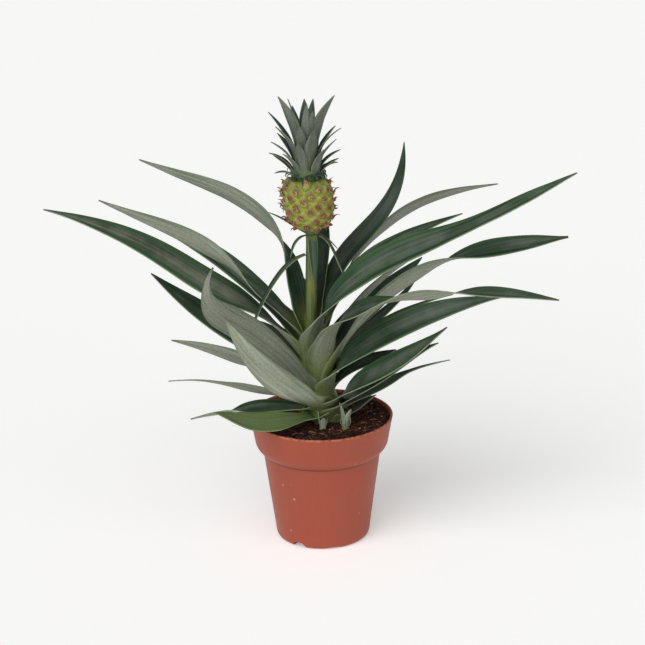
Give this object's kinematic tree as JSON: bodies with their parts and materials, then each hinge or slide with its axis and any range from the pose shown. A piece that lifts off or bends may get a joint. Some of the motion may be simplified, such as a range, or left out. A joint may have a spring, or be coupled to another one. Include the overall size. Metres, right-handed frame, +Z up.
{
  "type": "potted pineapple plant",
  "caption": "Small pineapple plant with arching strap leaves and one leafy-topped fruit on a stalk, growing in a round moulded plastic nursery pot filled with soil.",
  "frame": {"origin": "on the ground under the middle of the pot, at the centre of the pot's flat resting face", "axes": "+Z up along the pot's axis, -Y toward the viewer of the reference picture, +X to that viewer's right"},
  "size_m": [0.4408, 0.326, 0.3889],
  "materials": {
    "pot_plastic": "semi-matt moulded polypropylene, terracotta colour",
    "potting_soil": "rough, moist peat and coir fibre",
    "stem": "leaf-scarred, matt",
    "stalk": "smooth, slightly waxy",
    "fruit_rind": "knobbly, waxy rind",
    "tuft_leaf": "waxy with a grey bloom",
    "bract": "waxy",
    "young_leaf": "grey bloom over green",
    "leaf_blade": "waxy upper face, grey scaly lower face"
  },
  "bodies": {
    "root": {"pot": "pot_plastic", "soil": "potting_soil", "stem": "stem", "fruit_stalk": "stalk", "fruit": "fruit_rind", "tuft_core": "tuft_leaf", "leaf_left_1": "leaf_blade", "leaf_left_2": "leaf_blade", "leaf_left_3": "leaf_blade", "leaf_left_4": "leaf_blade", "leaf_left_5": "leaf_blade", "leaf_left_6": "leaf_blade", "leaf_left_7": "leaf_blade", "leaf_left_8": "leaf_blade", "leaf_left_9": "leaf_blade", "leaf_left_10": "leaf_blade", "leaf_left_11": "leaf_blade", "leaf_right_1": "leaf_blade", "leaf_right_2": "leaf_blade", "leaf_right_3": "leaf_blade", "leaf_right_4": "leaf_blade", "leaf_right_5": "leaf_blade", "leaf_right_6": "leaf_blade", "leaf_right_7": "leaf_blade", "leaf_right_8": "leaf_blade", "leaf_right_9": "leaf_blade", "leaf_right_10": "leaf_blade", "leaf_right_11": "leaf_blade", "leaf_right_12": "leaf_blade", "leaf_right_13": "leaf_blade", "leaf_right_14": "leaf_blade", "leaf_right_15": "leaf_blade", "leaf_right_16": "leaf_blade", "leaf_middle": "leaf_blade", "leaf_back_1": "leaf_blade", "leaf_back_2": "leaf_blade", "leaf_back_3": "leaf_blade", "bract_front": "bract", "bract_left_long": "bract", "bract_left": "bract", "bract_right_long": "bract", "bract_right": "bract", "bract_tip": "bract", "tuft_leaf_1": "tuft_leaf", "tuft_leaf_2": "tuft_leaf", "tuft_leaf_3": "tuft_leaf", "tuft_leaf_4": "tuft_leaf", "tuft_leaf_5": "tuft_leaf", "tuft_leaf_6": "tuft_leaf", "tuft_leaf_7": "tuft_leaf", "tuft_leaf_8": "tuft_leaf", "tuft_leaf_9": "tuft_leaf", "tuft_leaf_10": "tuft_leaf", "tuft_leaf_11": "tuft_leaf", "tuft_leaf_12": "tuft_leaf", "tuft_leaf_13": "tuft_leaf", "tuft_leaf_14": "tuft_leaf", "tuft_leaf_15": "tuft_leaf", "pup_right": "young_leaf", "pup_front": "young_leaf"}
  },
  "joints": []
}
